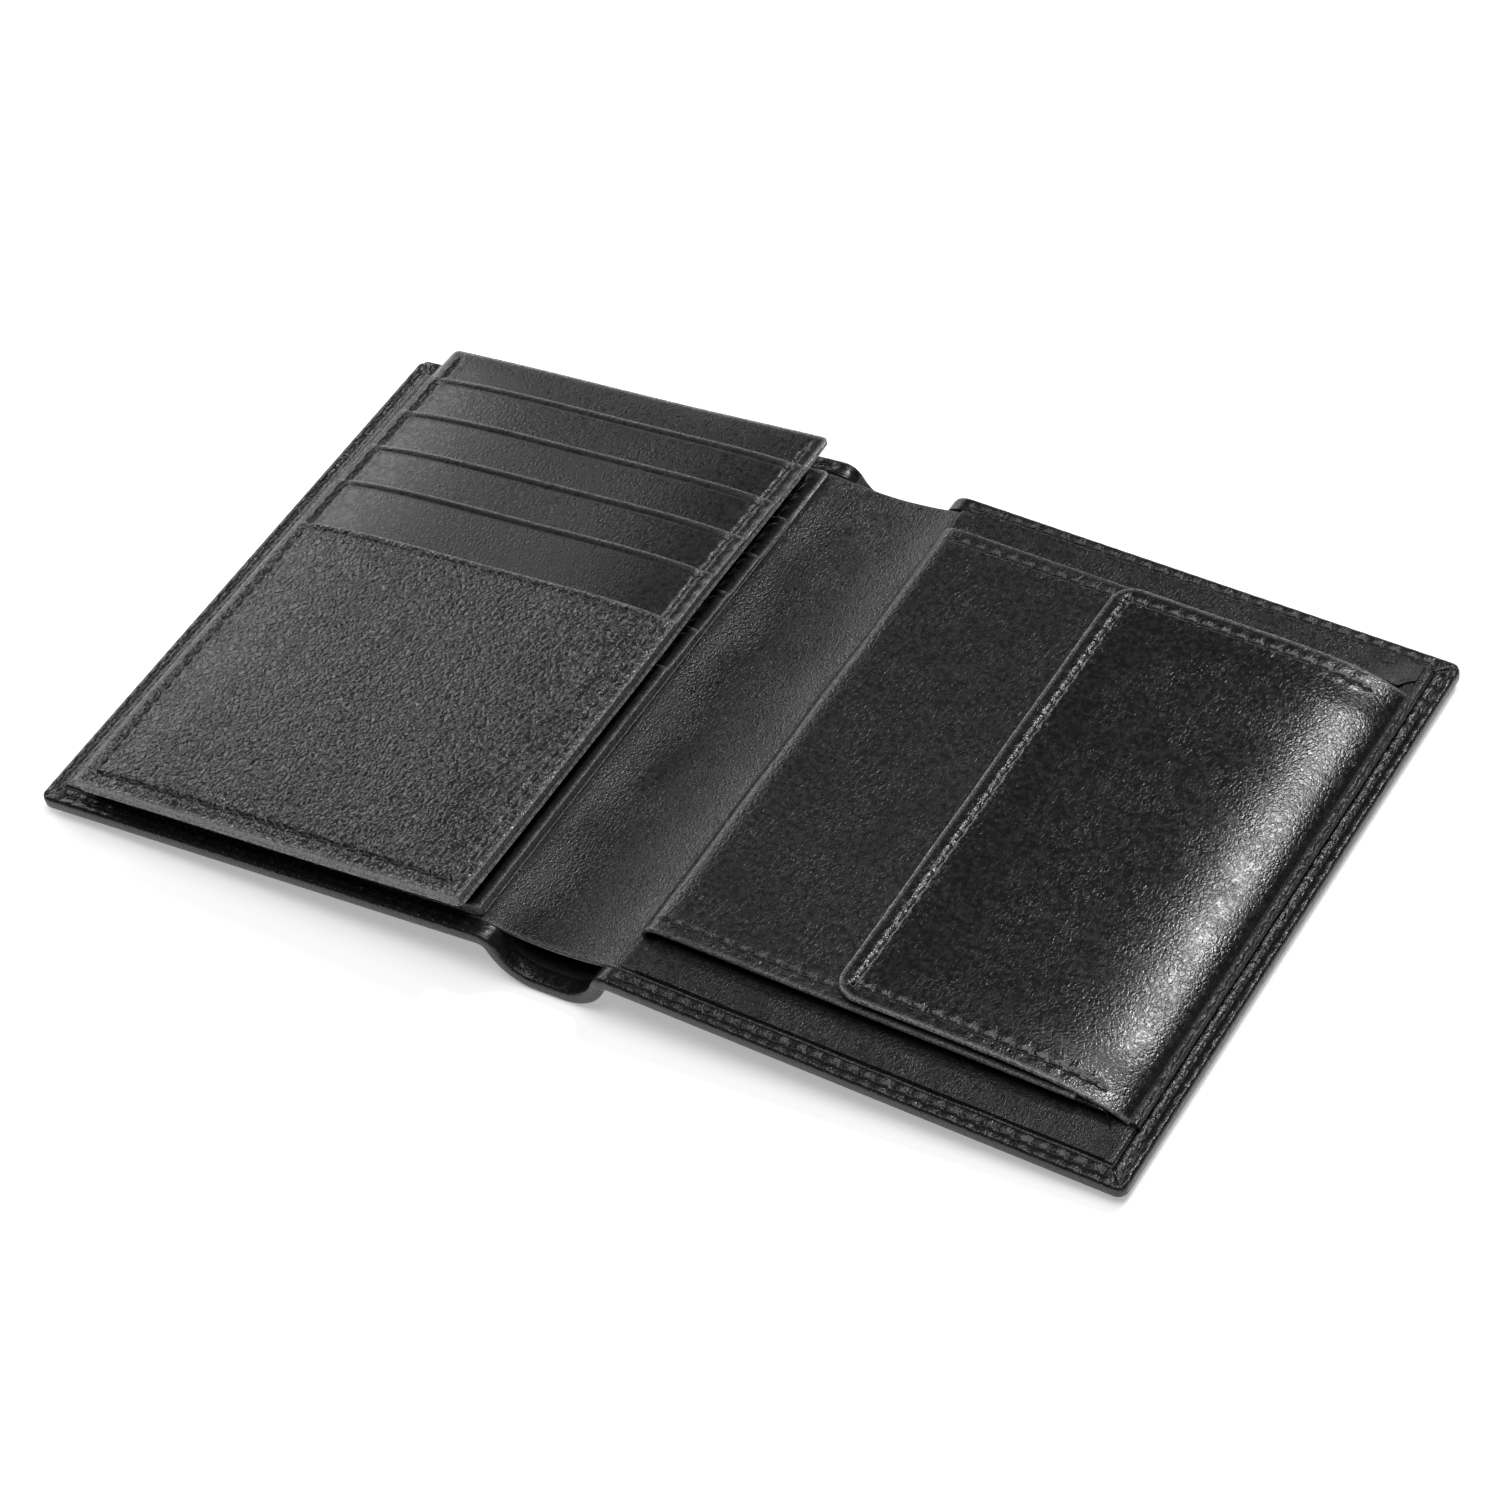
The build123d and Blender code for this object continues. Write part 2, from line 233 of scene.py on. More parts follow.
def lines(start, stop, spacing, roll, fine=()):
    """Grid lines, close together over the rounded edges and beside the fine places."""
    turn = roll * (1 - np.cos(np.linspace(0, pi / 2, 5)))
    count = max(1, round((stop - start - 2 * roll) / spacing))
    found = [start + turn, stop - turn, np.linspace(start + roll, stop - roll, count + 1)]
    found += [place + fine_cell * np.arange(-3, 4) for place in fine if start < place < stop]
    every = np.sort(np.concatenate(found))
    every = every[(every >= start) & (every <= stop)]
    return every[np.concatenate([[True], np.diff(every) > 0.01])]


def round_corners(x, y, box, radius, sides):
    """Draws a grid's square corners in to round ones on its low (-1) or high (+1) x side."""
    middle_x, middle_y = (box[0] + box[1]) / 2, (box[2] + box[3]) / 2
    side_x, side_y = np.sign(x - middle_x), np.sign(y - middle_y)
    over_x = abs(x - middle_x) - ((box[1] - box[0]) / 2 - radius)
    over_y = abs(y - middle_y) - ((box[3] - box[2]) / 2 - radius)
    inside = (over_x > 0) & (over_y > 0) & np.isin(side_x, sides)
    over_x, over_y = np.where(inside, over_x, 1), np.where(inside, over_y, 1)
    squeeze = np.where(inside, np.maximum(over_x, over_y) / np.hypot(over_x, over_y) - 1, 0)
    return x + side_x * over_x * squeeze, y + side_y * over_y * squeeze


def stitch_places(seam):
    """Middles of a seam's stitches, along it."""
    count = int((seam.stop - seam.start) // stitch_pitch)
    middle = (seam.start + seam.stop) / 2
    return middle + stitch_pitch * (np.arange(count) - (count - 1) / 2)


def drawn_in(seams, depth=seam_depth):
    """Relief of the leather along seams: a groove, deepest at the holes, that puffs up beside."""
    def relief(x, y):
        total = 0 * x
        for seam in seams:
            off, along = (y - seam.at, x) if seam.runs == "x" else (x - seam.at, y)
            phase = 2 * pi * (along - stitch_places(seam)[0]) / stitch_pitch
            hole = 0.5 - 0.5 * np.cos(phase)
            off = off - scallop * np.sin(phase)
            reach = smooth(along, seam.start - 1, seam.start) * smooth(-along, -seam.stop - 1, -seam.stop)
            dent = bump(off, groove_width) * (0.75 + 0.25 * hole)
            dent = dent + 0.5 * bump(off, hole_width) * hole ** 2
            rise = puff * bump(abs(off) - puff_off, puff_width) * (1 - hole)
            total = total + depth * reach * (rise - dent)
        return total
    return relief


def worked(seams):
    """1 where sewing has crumpled the leather beside a seam, 0 further away."""
    def share(x, y):
        total = 0 * x
        for seam in seams:
            off, along = (y - seam.at, x) if seam.runs == "x" else (x - seam.at, y)
            reach = smooth(along, seam.start - 2, seam.start) * smooth(-along, -seam.stop - 2, -seam.stop)
            total = np.maximum(total, reach * bump(off, crumple_reach))
        return total
    return share


# --------------------------------------------------------------------------- meshes
def make_object(name, points, faces, grain, rim, crumple=None):
    """A smooth-shaded mesh with rest coordinates for its grain, a rim share that lightens its edges as
    wear and as painted highlight, and a measure of crumpling.
    """
    mesh = bpy.data.meshes.new(name)
    mesh.from_pydata((points * METRES).tolist(), [], faces.tolist())
    mesh.shade_smooth()
    mesh.set_sharp_from_angle(angle=radians(62))
    mesh.attributes.new("grain", "FLOAT_VECTOR", "POINT").data.foreach_set("vector", grain.ravel())
    mesh.attributes.new("rim", "FLOAT", "POINT").data.foreach_set("value", rim.ravel())
    crumple = 0 * rim if crumple is None else crumple
    mesh.attributes.new("crumple", "FLOAT", "POINT").data.foreach_set("value", crumple.ravel())
    obj = bpy.data.objects.new(name, mesh)
    bpy.context.collection.objects.link(obj)
    return obj


def quads(grid):
    """Faces between the rows and columns of a grid of point numbers."""
    corners = [grid[:-1, :-1], grid[1:, :-1], grid[1:, 1:], grid[:-1, 1:]]
    return np.stack(corners, axis=-1).reshape(-1, 4)


def closed_sheet(name, u_lines, v_lines, shape, place, crumpled=flat, shift=None):
    """Closed sheet over a grid. shape gives x, y, lowest, highest and the distance inside.

    shift moves the grain over the sheet; sheets that meet share theirs.
    """
    u, v = np.meshgrid(u_lines, v_lines, indexing="ij")
    x, y, low, high, inside = shape(u, v)
    count = u.size
    index = np.arange(count).reshape(u.shape)
    points = np.concatenate([place(x, y, high).reshape(-1, 3), place(x, y, low).reshape(-1, 3)])
    rim = np.concatenate([index[:, 0], index[-1, 1:], index[-2::-1, -1], index[0, -2:0:-1]])
    after = np.roll(rim, -1)
    side = np.stack([rim, rim + count, after + count, after], axis=-1)
    faces = np.concatenate([quads(index), quads(index)[:, ::-1] + count, side])
    shift = random.uniform(-500, 500, 2) if shift is None else shift
    layers = [np.stack([x + shift[0], y + shift[1], level], axis=-1).reshape(-1, 3)
              for level in (high, low)]
    # share of the lighter edge colour, partly wear and partly painted highlight
    rim_rubbed_and_highlighted = bump(np.maximum(inside, 0), 0.6).ravel()
    crumple = crumpled(x, y).ravel()
    return make_object(name, points, faces, np.concatenate(layers), np.tile(rim_rubbed_and_highlighted, 2),
                       np.tile(crumple, 2))


def panel_sheet(name, place, box, low, high, corner=0.0, corner_sides=(-1, 1), spacing=cell,
                relief=flat, wave=flat, seams=(), roll=None, under=flat, joined=0, fine=(),
                crumpled=None, shift=None):
    """Flat sheet on a plane or along a fold, with rounded edges, seams and a gentle wave.

    joined is the x side, -1 or +1, that meets another piece and so isn't rounded; fine
    are the y places that need close grid lines.
    """
    radius = edge_share * (high - low) if roll is None else roll
    fine_x = [seam.at for seam in seams if seam.runs == "y"]
    fine_y = [seam.at for seam in seams if seam.runs == "x"] + list(fine)
    drawn = drawn_in(seams)

    def shape(u, v):
        from_low = u - box[0] if joined >= 0 else radius + 1
        from_high = box[1] - u if joined <= 0 else radius + 1
        inside = np.minimum(np.minimum(from_low, from_high), np.minimum(v - box[2], box[3] - v))
        x, y = round_corners(u, v, box, corner, corner_sides) if corner else (u, v)
        fall = rolled(inside, radius)
        lift = wave(x, y)
        bottom = low + under(x, y) + fall + lift
        return x, y, bottom, high - fall + lift + relief(x, y) + drawn(x, y), inside

    return closed_sheet(name, lines(box[0], box[1], spacing, radius, fine_x),
                        lines(box[2], box[3], spacing, radius, fine_y), shape, place,
                        crumpled or worked(seams), shift)


stitch_slant = 0.09            # sideways lean of a stitch, as a share of its length
slant_spread = 0.03
thread_twist = 0.13            # how much the thread's two plies show in its outline
stitch_dip = 0.55              # how far a stitch's ends go down into their holes


def stitches(name, rows, place):
    """One mesh of short bent threads. rows are (seam, height of the leather, +1 up or -1 down)."""
    rings, sides = 9, 8
    t = np.linspace(-1, 1, rings)[:, None]
    turn = np.linspace(0, 2 * pi, sides, endpoint=False)[None, :]
    radius = thread_radius * (1 - 0.35 * t ** 6) * (1 + thread_twist * np.cos(2 * turn + 7 * t))
    arch = thread_top - thread_radius - stitch_dip * abs(t) ** 5
    points, grain = [], []
    for seam, height, facing in rows:
        for centre in stitch_places(seam):
            slant = random.normal(stitch_slant, slant_spread)
            length = stitch_length * random.uniform(0.93, 1.05)
            along = centre + t * length / 2 + 0 * turn
            off = seam.at + slant * t * length / 2 + radius * np.cos(turn)
            x, y = (along, off) if seam.runs == "x" else (off, along)
            level = height(x, y) if callable(height) else height
            rise = level + facing * (arch + radius * np.sin(turn) + random.normal(0, 0.02))
            points.append(place(x, y, rise))
            grain.append(np.stack([along, turn + 0 * t, rise], axis=-1))
    count = len(points)
    ring = np.arange(sides)
    quad = [np.stack([k * sides + ring, (k + 1) * sides + ring,
                      (k + 1) * sides + (ring + 1) % sides, k * sides + (ring + 1) % sides], axis=-1)
            for k in range(rings - 1)]
    one = np.concatenate(quad)
    starts = np.arange(count)[:, None, None] * rings * sides
    faces = (one[None] + starts).reshape(-1, 4)
    return make_object(name, np.concatenate([p.reshape(-1, 3) for p in points]), faces,
                       np.concatenate([g.reshape(-1, 3) for g in grain]),
                       np.zeros(count * rings * sides))


# ------------------------------------------------------------------------- materials
class Shader:
    """A material's node tree, with one call to add a node and link what it is given."""

    def __init__(self, name):
        self.material = bpy.data.materials.new(name)
        self.material.use_nodes = True
        self.tree = self.material.node_tree
        self.tree.nodes.clear()

    def add(self, kind, inputs=None, output=0, **settings):
        """Adds a node and gives back one of its outputs."""
        node = self.tree.nodes.new(f"ShaderNode{kind}")
        for key, value in settings.items():
            setattr(node, key, value)
        for key, value in (inputs or {}).items():
            if isinstance(value, bpy.types.NodeSocket):
                self.tree.links.new(value, node.inputs[key])
            else:
                node.inputs[key].default_value = value
        return node.outputs[output]

    def math(self, operation, first, second=0.0):
        return self.add("Math", {0: first, 1: second}, operation=operation)

    def noise(self, place, scale, detail=2.0, roughness=0.5):
        return self.add("TexNoise", {"Vector": place, "Scale": scale, "Detail": detail,
                                     "Roughness": roughness})

    def remap(self, value, low, high, to_low, to_high):
        """Eases a value from one range to another."""
        return self.add("MapRange", {"Value": value, "From Min": low, "From Max": high,
                                     "To Min": to_low, "To Max": to_high},
                        interpolation_type="SMOOTHSTEP")

    def mix(self, share, first, second):
        """Blend of two colours."""
        return self.add("Mix", {0: share, 6: first, 7: second}, output=2, data_type="RGBA")

    def output(self, colour, roughness, normal, **constants):
        """Ends the material; constants are further inputs of its surface node."""
        inputs = {"Base Color": colour, "Roughness": roughness, "Normal": normal}
        inputs.update({key.replace("_", " "): value for key, value in constants.items()})
        surface = self.add("BsdfPrincipled", inputs)
        node = self.tree.nodes.new("ShaderNodeOutputMaterial")
        self.tree.links.new(surface, node.inputs["Surface"])


def grey(level):
    """A dark colour that is very slightly blue."""
    return (level, level, level * 1.03, 1)


def creases(shader, place, size, sharpness):
    """1 on the pebbles of the grain and 0 in the creases between them."""
    edge = shader.add("TexVoronoi", {"Vector": place, "Scale": 1 / size, "Randomness": 1.0},
                      feature="DISTANCE_TO_EDGE")
    return shader.remap(edge, 0.0, sharpness, 0.0, 1.0)


pucker_depth = 0.13            # relief of the leather that sewing has crumpled


def leather(name, tone, pebble, depth, fine_depth, roughness, worn_tone, wrinkle=0.0, shine=0.5):
    """Black leather: pebbles and creases, with painted shade in the creases, fine skin texture, uneven
    colour, and edges lightened partly as wear and partly as painted highlight.

    tone and the edge tone are grey levels, the edge tone partly wear and partly painted highlight; pebble
    is the size of the grain, and depth, fine_depth and wrinkle are heights of relief.
    """
    shader = Shader(name)
    place = shader.add("Attribute", output="Vector", attribute_name="grain")
    rim = shader.add("Attribute", output="Fac", attribute_name="rim")
    crumple = shader.add("Attribute", output="Fac", attribute_name="crumple")
    drift = shader.noise(place, 0.45, 3.0)
    warp = shader.add("TexNoise", {"Vector": place, "Scale": 0.6, "Detail": 2.0}, output="Color")
    bent = shader.add("VectorMath", {0: warp, 1: place, "Scale": 0.7}, operation="SCALE")
    bent = shader.add("VectorMath", {0: place, 1: bent}, operation="ADD")
    stretch = shader.add("Mapping", {"Vector": bent, "Scale": (1.0, 0.72, 0.5)})
    large = creases(shader, stretch, pebble, 0.24)
    small = creases(shader, bent, pebble * 0.55, 0.36)
    patch = shader.remap(shader.noise(place, 0.12, 2.0), 0.36, 0.62, 0.45, 1.0)
    puckers = shader.math("MULTIPLY", shader.noise(place, 1.5, 1.0, 0.5), crumple)
    skin = shader.noise(place, 2.3, 1.0, 0.4)
    folds = shader.add("Mapping", {"Vector": bent, "Scale": (0.28, 1.5, 0.5)})
    lined = shader.noise(folds, 1.1, 1.0, 0.4)
    height = shader.math("MULTIPLY", large, patch)
    height = shader.math("MULTIPLY_ADD", height, depth)
    for source, weight in ((small, depth * 0.55), (skin, fine_depth), (lined, wrinkle),
                           (puckers, pucker_depth)):
        term = shader.math("MULTIPLY", source, weight)
        height = shader.math("ADD", height, term)
    normal = shader.add("Bump", {"Height": height, "Strength": 1.0, "Distance": METRES})
    # painted shade: the grain's creases are coloured darker than its pebbles
    crease_shade = shader.remap(large, 0.0, 0.8, 0.6, 1.0)
    cloudy = shader.remap(drift, 0.3, 0.7, 0.82, 1.18)
    # lighter, speckled colour along the edges: partly wear, partly painted highlight on the edge lines
    rim_speckle = shader.remap(shader.noise(place, 2.4, 2.0), 0.4, 0.62, 0.25, 1.0)
    worn = shader.math("MULTIPLY", rim, rim_speckle)
    base = shader.mix(shader.math("MULTIPLY", crease_shade, cloudy), grey(tone * 0.45), grey(tone * 1.1))
    colour = shader.mix(shader.math("MULTIPLY", worn, 0.8), base, grey(worn_tone))
    rough = shader.remap(shader.noise(place, 0.9, 3.0), 0.3, 0.7, roughness - 0.05, roughness + 0.07)
    rough = shader.math("SUBTRACT", rough, shader.math("MULTIPLY", worn, 0.08))
    shader.output(colour, rough, normal, Specular_IOR_Level=shine)
    return shader.material


def cloth(name, tone):
    """Plain woven lining."""
    shader = Shader(name)
    place = shader.add("Attribute", output="Vector", attribute_name="grain")
    threads = []
    for direction in ("X", "Y"):
        threads.append(shader.add("TexWave", {"Vector": place, "Scale": 0.75, "Distortion": 0.6,
                                              "Detail": 1.0}, wave_type="BANDS",
                                  bands_direction=direction, output=1))
    weave = shader.math("MAXIMUM", *threads)
    normal = shader.add("Bump", {"Height": weave, "Strength": 0.7, "Distance": 0.08 * METRES})
    share = shader.math("MULTIPLY", weave, shader.remap(shader.noise(place, 0.3), 0.3, 0.7, 0.7, 1.0))
    colour = shader.mix(share, grey(tone * 0.4), grey(tone * 1.2))
    shader.output(colour, 0.85, normal, Sheen_Weight=0.25, Sheen_Roughness=0.5)
    return shader.material


def waxed_thread(name):
    """Thin dark thread with a twist."""
    shader = Shader(name)
    place = shader.add("Attribute", output="Vector", attribute_name="grain")
    twist = shader.add("TexWave", {"Vector": place, "Scale": 0.7, "Distortion": 0.8},
                       bands_direction="DIAGONAL", output=1)
    normal = shader.add("Bump", {"Height": twist, "Strength": 0.8, "Distance": 0.06 * METRES})
    colour = shader.mix(twist, grey(0.004), grey(0.02))
    rough = shader.remap(shader.noise(place, 2.0), 0.3, 0.7, 0.38, 0.6)
    shader.output(colour, rough, normal, Specular_IOR_Level=0.4)
    return shader.material


def stud_metal(name):
    """Brushed metal of the press stud."""
    shader = Shader(name)
    place = shader.add("TexCoord", output="Object")
    brushed = shader.add("Mapping", {"Vector": place, "Scale": (4000.0, 300.0, 4000.0)})
    grainy = shader.noise(brushed, 1.0, 2.0)
    colour = shader.mix(shader.noise(place, 900.0), grey(0.4), grey(0.58))
    rough = shader.remap(grainy, 0.3, 0.7, 0.22, 0.38)
    normal = shader.add("Bump", {"Height": grainy, "Strength": 0.3, "Distance": 0.02 * METRES})
    shader.output(colour, rough, normal, Metallic=1.0)
    return shader.material


Finish = namedtuple("Finish", "material slot")


def hide(name, slot="grain_leather", **look):
    """Finish of one of the leathers."""
    return Finish(leather(name, **look), slot)


# each leather's worn tone lightens its edges, partly as wear and partly as painted highlight
pebbled = hide("pebbled_leather", tone=0.010, pebble=1.7, depth=0.12, fine_depth=0.03,
               roughness=0.28, worn_tone=0.22, shine=0.46)
pocket_skin = hide("pocket_leather", tone=0.009, pebble=1.2, depth=0.035, fine_depth=0.03,
                   roughness=0.31, worn_tone=0.16, shine=0.42)
outer = hide("outer_leather", tone=0.009, pebble=1.2, depth=0.04, fine_depth=0.03,
             roughness=0.28, worn_tone=0.02, shine=0.38)
supple = hide("supple_leather", tone=0.009, pebble=0.9, depth=0.05, fine_depth=0.035,
              roughness=0.32, worn_tone=0.10)
creased = hide("creased_leather", tone=0.009, pebble=0.8, depth=0.03, fine_depth=0.03,
               roughness=0.31, worn_tone=0.05, shine=0.4)
flap_skin = hide("flap_leather", tone=0.009, pebble=1.0, depth=0.026, fine_depth=0.014,
                 roughness=0.23, worn_tone=0.30)
slot_smooth = hide("slot_leather", "fine_leather", tone=0.010, pebble=1.0, depth=0.02,
                   fine_depth=0.025, roughness=0.31, worn_tone=0.22, shine=0.36)
slot_veined = hide("slot_leather_veined", "fine_leather", tone=0.010, pebble=1.2, depth=0.02,
                   fine_depth=0.02, roughness=0.31, worn_tone=0.22, wrinkle=0.08, shine=0.36)
# edges lightened most of all: partly a raw, worn cut edge, partly painted highlight
cut_edge_highlighted = hide("cut_edge_highlighted_leather", "fine_leather", tone=0.010, pebble=1.0, depth=0.025,
                 fine_depth=0.025, roughness=0.31, worn_tone=0.5, shine=0.36)
lining = Finish(cloth("lining_weave", 0.03), "lining_cloth")
thread = Finish(waxed_thread("waxed_thread"), "thread")
metal = Finish(stud_metal("stud_metal"), "snap_metal")


def settle(obj, finish, body, *nodes):
    """Gives a piece its finish, hides what it replaces and attaches it to its body; a piece given two
    bodies to bend between is only fixed where it stands.
    """
    obj.data.materials.append(finish.material)
    if isinstance(body, str):
        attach(obj, body)
    else:
        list(body)
        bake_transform(obj)
    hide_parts(*nodes)


# ------------------------------------------------------------------------ cover sizes
x_outer, _, _, half_height, _, hem_top = left.box("shell_left")
cover_width = -x_outer
divider_box = left.box("divider_left")
hem_width = divider_box[0] - x_outer
cloth_box = left.box("shell_lining_left")
leather_thick = cloth_box[4]
cloth_top = cloth_box[5]
divider_low = divider_box[4]
spine_flat = 3.0               # half width of the strip of the spine that rests on the table
divider_sag = 1.6              # how far the divider hangs down in the middle of the spine
cover_corner = 2.2             # corner radius of the covers
bend_out, bend_in = 2.0, 3.0   # reach of the bend from a hinge line, on the cover and the spine

hinge_x, _, hinge_z = left.place(np.array(0.0), np.array(0.0), np.array(0.0))


def mirrored(points, side):
    """The left half's line, or for the right side its mirror image, always drawn towards +x."""
    points = np.array(points, float)
    return points if side < 0 else (points * (-1, 1))[::-1]


def bulge_line(side):
    """Outer face of half the wallet: the cover, the turn down at the hinge, the bulge."""
    half = -hinge_x - 0.4
    radius = ((half - spine_flat) ** 2 + hinge_z ** 2) / (2 * hinge_z)
    end = asin((half - spine_flat) / radius)
    if hinge_z > radius:       # the arc goes past its widest place
        end = pi - end
    turns = np.linspace(end, 0, 60)
    arc = [(-spine_flat - radius * sin(turn), radius - radius * cos(turn)) for turn in turns]
    cover = [tuple(left.place(np.array(x), np.array(0.0), np.array(0.0))[[0, 2]])
             for x in (-cover_width, -0.6)]
    return mirrored(cover + arc + [(0, 0)], side)


def divider_line(side):
    """Underside of half the divider: flat on the cover, sagging across the spine."""
    start = left.place(np.array(-cover_width + hem_width), np.array(0.0), np.array(divider_low))
    edge = left.place(np.array(-1.0), np.array(0.0), np.array(divider_low))
    reach = -edge[0]
    sag = [(-reach * (1 - k), edge[2] - divider_sag * (1 - (1 - k) ** 2))
           for k in np.linspace(0.02, 1, 30)]
    return mirrored([start[[0, 2]], edge[[0, 2]]] + sag, side)


COVERS = {-1: ("left", "left_cover"), 1: ("right", "right_cover")}


def cover_bend(side):
    """Bodies, start and end of the bend at a cover's hinge."""
    cover_x = side * (abs(hinge_x) + bend_out) * METRES
    spine_x = side * (abs(hinge_x) - bend_in) * METRES
    level = hinge_z * METRES
    return COVERS[side][1], "spine", (cover_x, 0, level), (spine_x, 0, level)


# ------------------------------------------------------------------- shell and linings
hem_roll = 0.75                # rounding of the turned hem
mitre = 0.35                   # depth and width of the line where two hems meet at a corner
groove_through = 0.7           # share of a seam's groove that shows on the outer face
hem_crumple = 0.4              # how crumpled the hem is, against 1 beside a seam


def shell(side):
    """Outer leather of half the wallet, with its hem turned in and stitched."""
    name, body = COVERS[side]
    fold = Fold(bulge_line(side))
    edge = 0.0 if side < 0 else fold.length
    box = (0.0, fold.length, -half_height, half_height)
    hinge_s = edge - side * cover_width
    joint_s = fold.length - edge
    row = sorted((edge - side * hem_width, hinge_s + side * 2.0))
    seams = [Seam("x", y, *row) for y in (-half_height + hem_seam, half_height - hem_seam)]
    seams.append(Seam("y", edge - side * hem_seam, -half_height + hem_seam, half_height - hem_seam))
    drawn = drawn_in(seams)
    rough_hem = ripple(4.0, 0.05, 31)

    def shape(u, v):
        from_outer = abs(u - edge)
        from_end = half_height - abs(v)
        inside = np.minimum(from_outer, from_end)
        x, y = round_corners(u, v, box, cover_corner, (side,))
        fall = rolled(inside, hem_roll)
        step = smooth(inside, hem_width - 0.35, hem_width + 0.05)
        uneven = rough_hem(x - joint_s, y) * smooth(inside, 0.2, 1.5)
        notch = mitre * bump(from_outer - from_end, mitre) * (inside < hem_width)
        high = hem_top - fall + (drawn(x, y) + uneven - notch) * (1 - step)
        high = high - step * (hem_top - leather_thick)
        return x, y, fall - groove_through * drawn(x, y), high, inside

    def crumpled(x, y):
        inside = np.minimum(abs(x - edge), half_height - abs(y))
        return hem_crumple * smooth(inside, 0.3, 1.2) * smooth(-inside, -hem_width - 0.6, -hem_width)

    fine_x = [edge - side * hem_seam, edge - side * hem_width, hinge_s]
    fine_y = [end * (half_height - off) for end in (-1, 1) for off in (hem_seam, hem_width)]
    obj = closed_sheet(f"shell_leather_{name}", lines(box[0], box[1], cell, hem_roll, fine_x),
                       lines(box[2], box[3], cell, hem_roll, fine_y), shape, fold.place, crumpled,
                       (-joint_s, 0))
    settle(obj, outer, cover_bend(side), f"shell_{name}", "shell_spine")

    rows = [(seam, hem_top, 1) for seam in seams] + [(seam, 0.0, -1) for seam in seams]
    sewn = stitches(f"hem_stitches_{name}", rows, fold.place)
    settle(sewn, thread, body, f"{name}_cover_thread")


def inner_sheet(side, name, node, fold, span, level, finish, y_ends, spacing, relief=flat):
    """A sheet inside the hem, over a cover and half the spine; the halves meet at x = 0."""
    joint_s = fold.length if side < 0 else 0.0
    side_name = COVERS[side][0]
    obj = panel_sheet(f"{name}_{side_name}_sheet", fold.place, (*span, *y_ends), *level,
                      spacing=spacing, relief=lambda x, y: relief(x - joint_s, y), joined=-side,
                      shift=(-joint_s, 0))
    settle(obj, finish, cover_bend(side), f"{node}_{side_name}", f"{node}_spine")


def inner_sheets(side):
    """The note space's lining and the divider over it."""
    inner = half_height - hem_width
    fold = Fold(bulge_line(side))
    span = (hem_width, fold.length) if side < 0 else (0.0, fold.length - hem_width)
    inner_sheet(side, "note_lining", "shell_lining", fold, span, (leather_thick + 0.02, cloth_top),
                lining, (-inner, inner), coarse_cell)
    fold = Fold(divider_line(side))
    inner_sheet(side, "divider", "divider", fold, (0.0, fold.length), (0.0, hem_top - divider_low),
                supple, (-inner - 0.3, inner), cell, ripple(16, 0.12, 53))


for side in COVERS:
    shell(side)
    inner_sheets(side)


# ----------------------------------------------------------------- card stack and leaf
piping = 0.3                   # height of the roll between a side seam and the edge
lip_rise = 0.22                # how far a slot's lip turns up
lip_line = 0.24                # depth of the pressed line beside a slot's lip
slot_tuck = 1.2                # how far a slot reaches under the next one
stack_seam = 4.2               # seam to the free edge of the cover's stack
slot_count = 5
lip_clear = 0.3                # side stitches stop this far short of a slot's lip


def piped(box, seams):
    """Relief of the roll between a side seam and the sheet's edge, nipped at every hole."""
    def relief(x, y):
        total = 0 * x
        for seam in seams:
            if seam.runs == "y":
                edge = box[0] if seam.at < (box[0] + box[1]) / 2 else box[1]
                phase = 2 * pi * (y - stitch_places(seam)[0]) / stitch_pitch
                swell = 0.75 + 0.25 * np.cos(phase)
                total = total + piping * swell * bump(x - (seam.at + edge) / 2, 0.8)
        return total
    return relief


def slot_sheet(name, place, box, levels, seams, wave, finish, body, node):
    """One card slot: a sheet whose far edge is folded over and free, solid further in.

    levels are the heights that the stack starts from, of the sheet below and of this one.
    """
    base, below, level = levels
    lip = level - below
    free, gap = 1.0, 0.07

    def under(x, y):
        return (below + gap - base) * (box[3] - y < free) * (below > base)

    roll_beside = piped(box, seams)

    def relief(x, y):
        """Lip turned up a little at the free edge, with a pressed line beside it."""
        between = smooth(x, box[0] + 1.6, box[0] + 3.0) * smooth(-x, 1.6 - box[1], 3.0 - box[1])
        from_edge = box[3] - y
        lip_shape = lip_rise * bump(from_edge - 0.5, 0.45) - lip_line * bump(from_edge - 1.7, 0.32)
        return between * lip_shape + roll_beside(x, y)

    obj = panel_sheet(name, place, box, base, level, roll=edge_share * lip, relief=relief, wave=wave,
                      seams=seams, under=under, fine=(box[3] - 0.6, box[3] - 1.8))
    settle(obj, finish, body, node)


